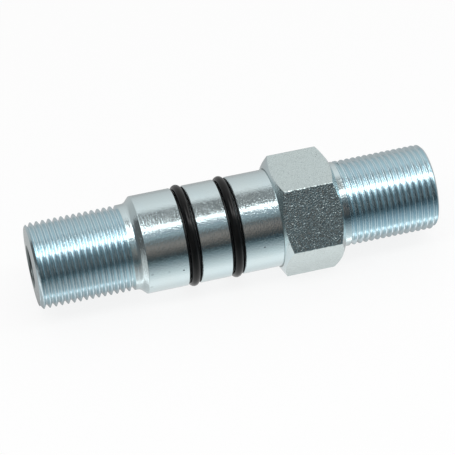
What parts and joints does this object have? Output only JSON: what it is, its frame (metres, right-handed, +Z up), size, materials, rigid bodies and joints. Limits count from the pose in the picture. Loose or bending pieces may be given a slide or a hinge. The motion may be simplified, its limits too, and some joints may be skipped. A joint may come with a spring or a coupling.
{
  "type": "male threaded fitting",
  "caption": "Hydraulic fitting with a male thread at each end, a hexagon, and a smooth pilot sealed by rubber rings, bored through for flow.",
  "frame": {"origin": "on the fitting's axis, in the hexagon face that seats against the housing", "axes": "+X along the axis, from the seat face through the hexagon to the rear thread; +Z up, square to the upper flat of the hexagon"},
  "size_m": [0.1332, 0.0404, 0.035],
  "materials": {
    "plated_steel": "bright zinc plate over turned steel, fine turning marks, grainy hexagon flats",
    "seal_rubber": "satin black nitrile rubber"
  },
  "bodies": {
    "root": {"fitting_body": "plated_steel", "front_o_ring": "seal_rubber", "rear_o_ring": "seal_rubber"}
  },
  "joints": []
}
